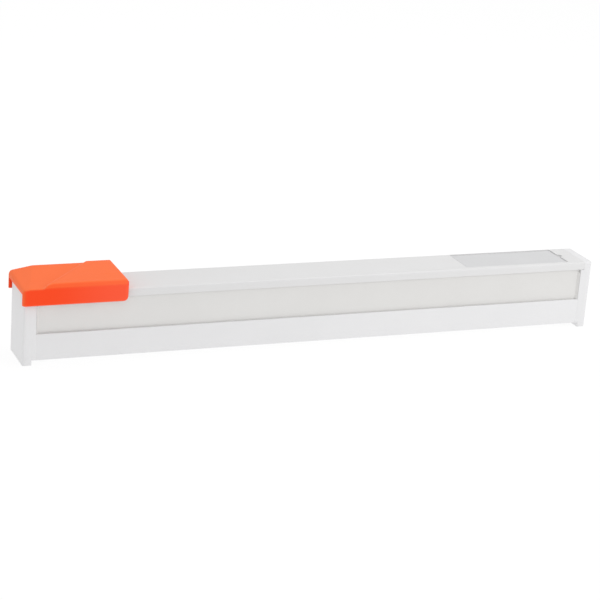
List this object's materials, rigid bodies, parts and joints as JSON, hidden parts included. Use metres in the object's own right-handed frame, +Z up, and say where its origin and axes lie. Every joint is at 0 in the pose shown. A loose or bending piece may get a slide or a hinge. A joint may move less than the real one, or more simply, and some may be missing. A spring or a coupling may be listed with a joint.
{
  "type": "film dispenser with sliding cutter",
  "caption": "Long slim white box that holds a roll of film, with a lift-off lid rail and an orange saddle slider that runs along it and cuts the film.",
  "frame": {"origin": "centre of the footprint, on the surface that the end caps stand on", "axes": "+X along the dispenser, away from the end where the slider rests; -Y is the front, with the window; +Z up"},
  "size_m": [0.3414, 0.0334, 0.0467],
  "materials": {
    "white_shell": "fine satin moulding",
    "window": "frosted, slightly warm",
    "orange_cover": "satin orange",
    "inner_white": "plain moulded",
    "grip": "soft matt",
    "steel": "brushed",
    "label": "grey satin foil",
    "core_card": "wound card",
    "film": "clear wound film"
  },
  "bodies": {
    "base": {"base_trough": "white_shell", "front_window": "window", "film_grip_strip": "grip", "left_end_cap": "white_shell", "right_end_cap": "white_shell", "base_screw_1": "steel", "base_screw_2": "steel", "base_screw_3": "steel", "base_screw_4": "steel", "fixed_hub": "inner_white", "hub_ring": "inner_white", "hub_spring": "steel"},
    "hub": {"sprung_hub": "inner_white"},
    "roll": {"core_tube": "core_card", "film_roll": "film"},
    "lid": {"lid_rail": "white_shell", "label_plate": "label", "left_lid_latch": "inner_white", "right_lid_latch": "inner_white"},
    "slider": {"slider_carriage": "inner_white", "slider_cover": "orange_cover", "blade": "steel", "cover_screw_1": "steel", "cover_screw_2": "steel"}
  },
  "joints": [
    {"name": "lid_lift", "type": "slide", "parent": "base", "child": "lid", "axis": [0, 0, 1], "range_m": [0, 0.035]},
    {"name": "slider_run", "type": "slide", "parent": "lid", "child": "slider", "axis": [1, 0, 0], "range_m": [0, 0.2825]},
    {"name": "roll_spin", "type": "hinge", "parent": "base", "child": "roll", "pos_m": [0.0007, 0.0008, 0.018], "axis": [1, 0, 0], "continuous": true},
    {"name": "hub_push", "type": "slide", "parent": "base", "child": "hub", "axis": [1, 0, 0], "range_m": [0, 0.005], "stiffness_N_per_m": 400, "deforming": ["hub_spring"]}
  ]
}
